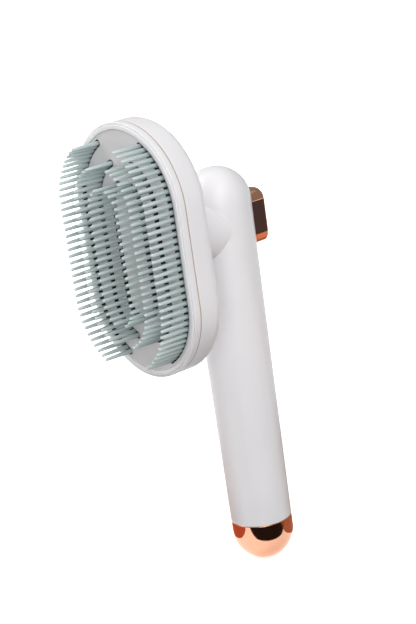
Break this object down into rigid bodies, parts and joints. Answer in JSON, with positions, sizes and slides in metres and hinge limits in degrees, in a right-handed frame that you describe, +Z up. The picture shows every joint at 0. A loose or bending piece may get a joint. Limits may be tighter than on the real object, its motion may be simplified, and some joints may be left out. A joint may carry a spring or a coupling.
{
  "type": "slicker brush",
  "caption": "Hand brush for pets: oval head with curved rows of plastic teeth through a slotted plate, which a sprung rear button pushes forward to strip the hair.",
  "frame": {"origin": "middle of the small flat at the foot of the end cap, on the handle's axis", "axes": "+Z up the handle's axis, -Y the way the teeth point, +Y towards the button, +X to the right of someone who looks at the teeth"},
  "size_m": [0.0632, 0.0735, 0.19],
  "materials": {
    "white_plastic": "white moulded plastic, satin gloss",
    "inner_plastic": "plain moulded plastic, hidden parts",
    "plate_plastic": "pale warm grey moulded plastic, matte",
    "comb_plastic": "grey-green flexible plastic, satin",
    "trim": "thin tan accent line",
    "rose_gold": "plastic with mirror-polished rose gold plating",
    "steel": "bright steel, hidden parts"
  },
  "bodies": {
    "brush_body": {"handle_front_shell": "white_plastic", "handle_rear_shell": "white_plastic", "end_cap": "rose_gold", "end_cap_plug": "inner_plastic", "end_cap_screw": "steel", "head_rear_shell": "white_plastic", "trim_ring": "trim", "bezel_ring": "white_plastic", "comb_retainer": "inner_plastic", "comb_outer_left": "comb_plastic", "comb_outer_right": "comb_plastic", "comb_middle_left": "comb_plastic", "comb_middle_right": "comb_plastic", "comb_inner_left": "comb_plastic", "comb_inner_right": "comb_plastic", "guide_bush": "inner_plastic", "return_spring": "steel", "neck_screw_1": "steel", "neck_screw_2": "steel", "neck_screw_3": "steel", "neck_screw_4": "steel", "retainer_screw_1": "steel", "retainer_screw_2": "steel", "retainer_screw_3": "steel", "retainer_screw_4": "steel"},
    "push_off": {"push_off_plate": "plate_plastic", "push_rod": "inner_plastic", "spring_washer": "steel", "retaining_clip": "steel", "button_core": "inner_plastic", "button_cap": "rose_gold", "button_screw": "steel", "plate_screw_1": "steel", "plate_screw_2": "steel", "plate_screw_3": "steel"}
  },
  "joints": [
    {"name": "button_press", "type": "slide", "parent": "brush_body", "child": "push_off", "axis": [0, -1, 0], "range_m": [0, 0.0045], "stiffness_N_per_m": 300, "springref_m": -0.006, "deforming": ["return_spring"]}
  ]
}
